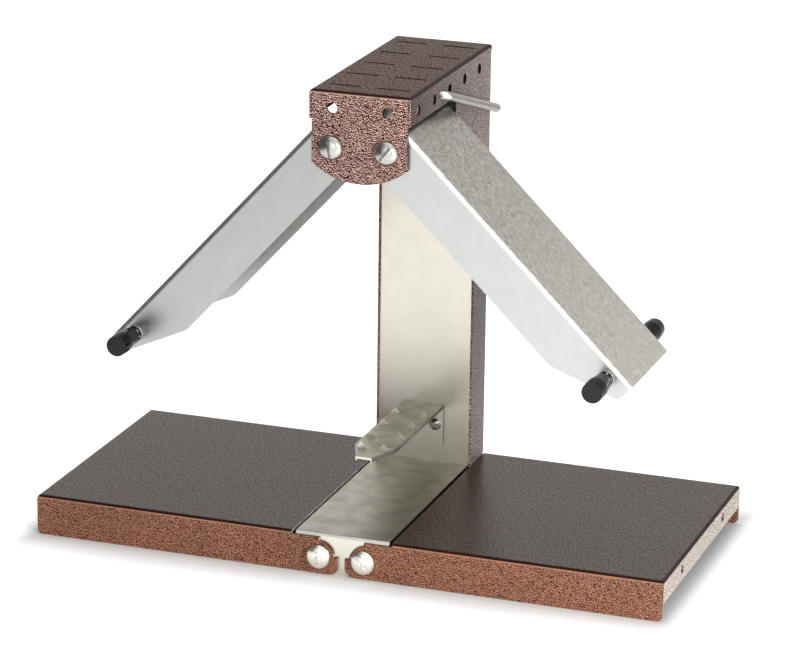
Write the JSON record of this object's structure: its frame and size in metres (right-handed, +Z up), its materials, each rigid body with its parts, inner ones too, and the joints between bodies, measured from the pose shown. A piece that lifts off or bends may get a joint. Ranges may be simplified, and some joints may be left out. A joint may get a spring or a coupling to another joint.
{
  "type": "raclette machine",
  "caption": "Table-top raclette heater with hinged heating arms on a folded-sheet column, a spiked wedge tray, fold-down base wings and a swinging carrying handle.",
  "frame": {"origin": "on the table plane, under the middle of the machine's outline", "axes": "+Z up, +Y from the front to the column and handle at the back, +X to the right as seen from the front"},
  "size_m": [0.45, 0.2172, 0.329],
  "materials": {
    "hammered_enamel": "hammered copper-brown stove enamel",
    "brushed_stainless": "brushed satin",
    "bright_steel": "polished",
    "sheath_steel": "heat-darkened satin",
    "knob_black": "glossy moulded",
    "gland_black": "satin moulded",
    "steatite": "unglazed"
  },
  "bodies": {
    "stand": {"centre_channel": "brushed_stainless", "column": "hammered_enamel", "column_liner": "brushed_stainless", "column_foot": "brushed_stainless", "head_cover": "hammered_enamel", "seam_plates": "brushed_stainless", "pivot_bulkhead": "brushed_stainless", "pivot_screws": "bright_steel", "pivot_washers": "bright_steel", "pivot_nuts": "bright_steel", "front_base_bolts": "bright_steel", "rear_base_bolts": "bright_steel", "base_nuts": "bright_steel", "wedge_tray": "brushed_stainless", "tray_screws": "bright_steel", "tray_nuts": "bright_steel", "terminal_block": "steatite", "terminal_screws": "bright_steel", "cable_gland": "gland_black", "gland_nut": "gland_black"},
    "left_arm": {"left_arm_shell": "brushed_stainless", "left_reflector": "bright_steel", "left_element": "sheath_steel", "left_element_brackets": "brushed_stainless", "left_element_ends": "steatite", "left_spacer_tube": "bright_steel", "left_front_knob": "knob_black", "left_rear_knob": "knob_black", "left_knob_nuts": "bright_steel"},
    "right_arm": {"right_arm_shell": "brushed_stainless", "right_reflector": "bright_steel", "right_element": "sheath_steel", "right_element_brackets": "brushed_stainless", "right_element_ends": "steatite", "right_spacer_tube": "bright_steel", "right_front_knob": "knob_black", "right_rear_knob": "knob_black", "right_knob_nuts": "bright_steel"},
    "left_wing": {"left_wing": "hammered_enamel"},
    "right_wing": {"right_wing": "hammered_enamel"},
    "carrying_handle": {"carrying_handle": "bright_steel"}
  },
  "joints": [
    {"name": "left_arm_tilt", "type": "hinge", "parent": "stand", "child": "left_arm", "pos_m": [-0.01935, -0.02835, 0.2906], "axis": [0, -1, 0], "range_deg": [-34.3, 42.3]},
    {"name": "right_arm_tilt", "type": "hinge", "parent": "stand", "child": "right_arm", "pos_m": [0.01935, -0.02835, 0.2906], "axis": [0, 1, 0], "range_deg": [-31, 45.6]},
    {"name": "left_wing_fold", "type": "hinge", "parent": "stand", "child": "left_wing", "pos_m": [-0.016, -0.00435, 0.0127], "axis": [0, -1, 0], "range_deg": [0, 90]},
    {"name": "right_wing_fold", "type": "hinge", "parent": "stand", "child": "right_wing", "pos_m": [0.016, -0.00435, 0.0127], "axis": [0, 1, 0], "range_deg": [0, 90]},
    {"name": "handle_swing", "type": "hinge", "parent": "stand", "child": "carrying_handle", "pos_m": [0, -0.01468, 0.3174], "axis": [1, 0, 0], "range_deg": [0, 195]}
  ]
}
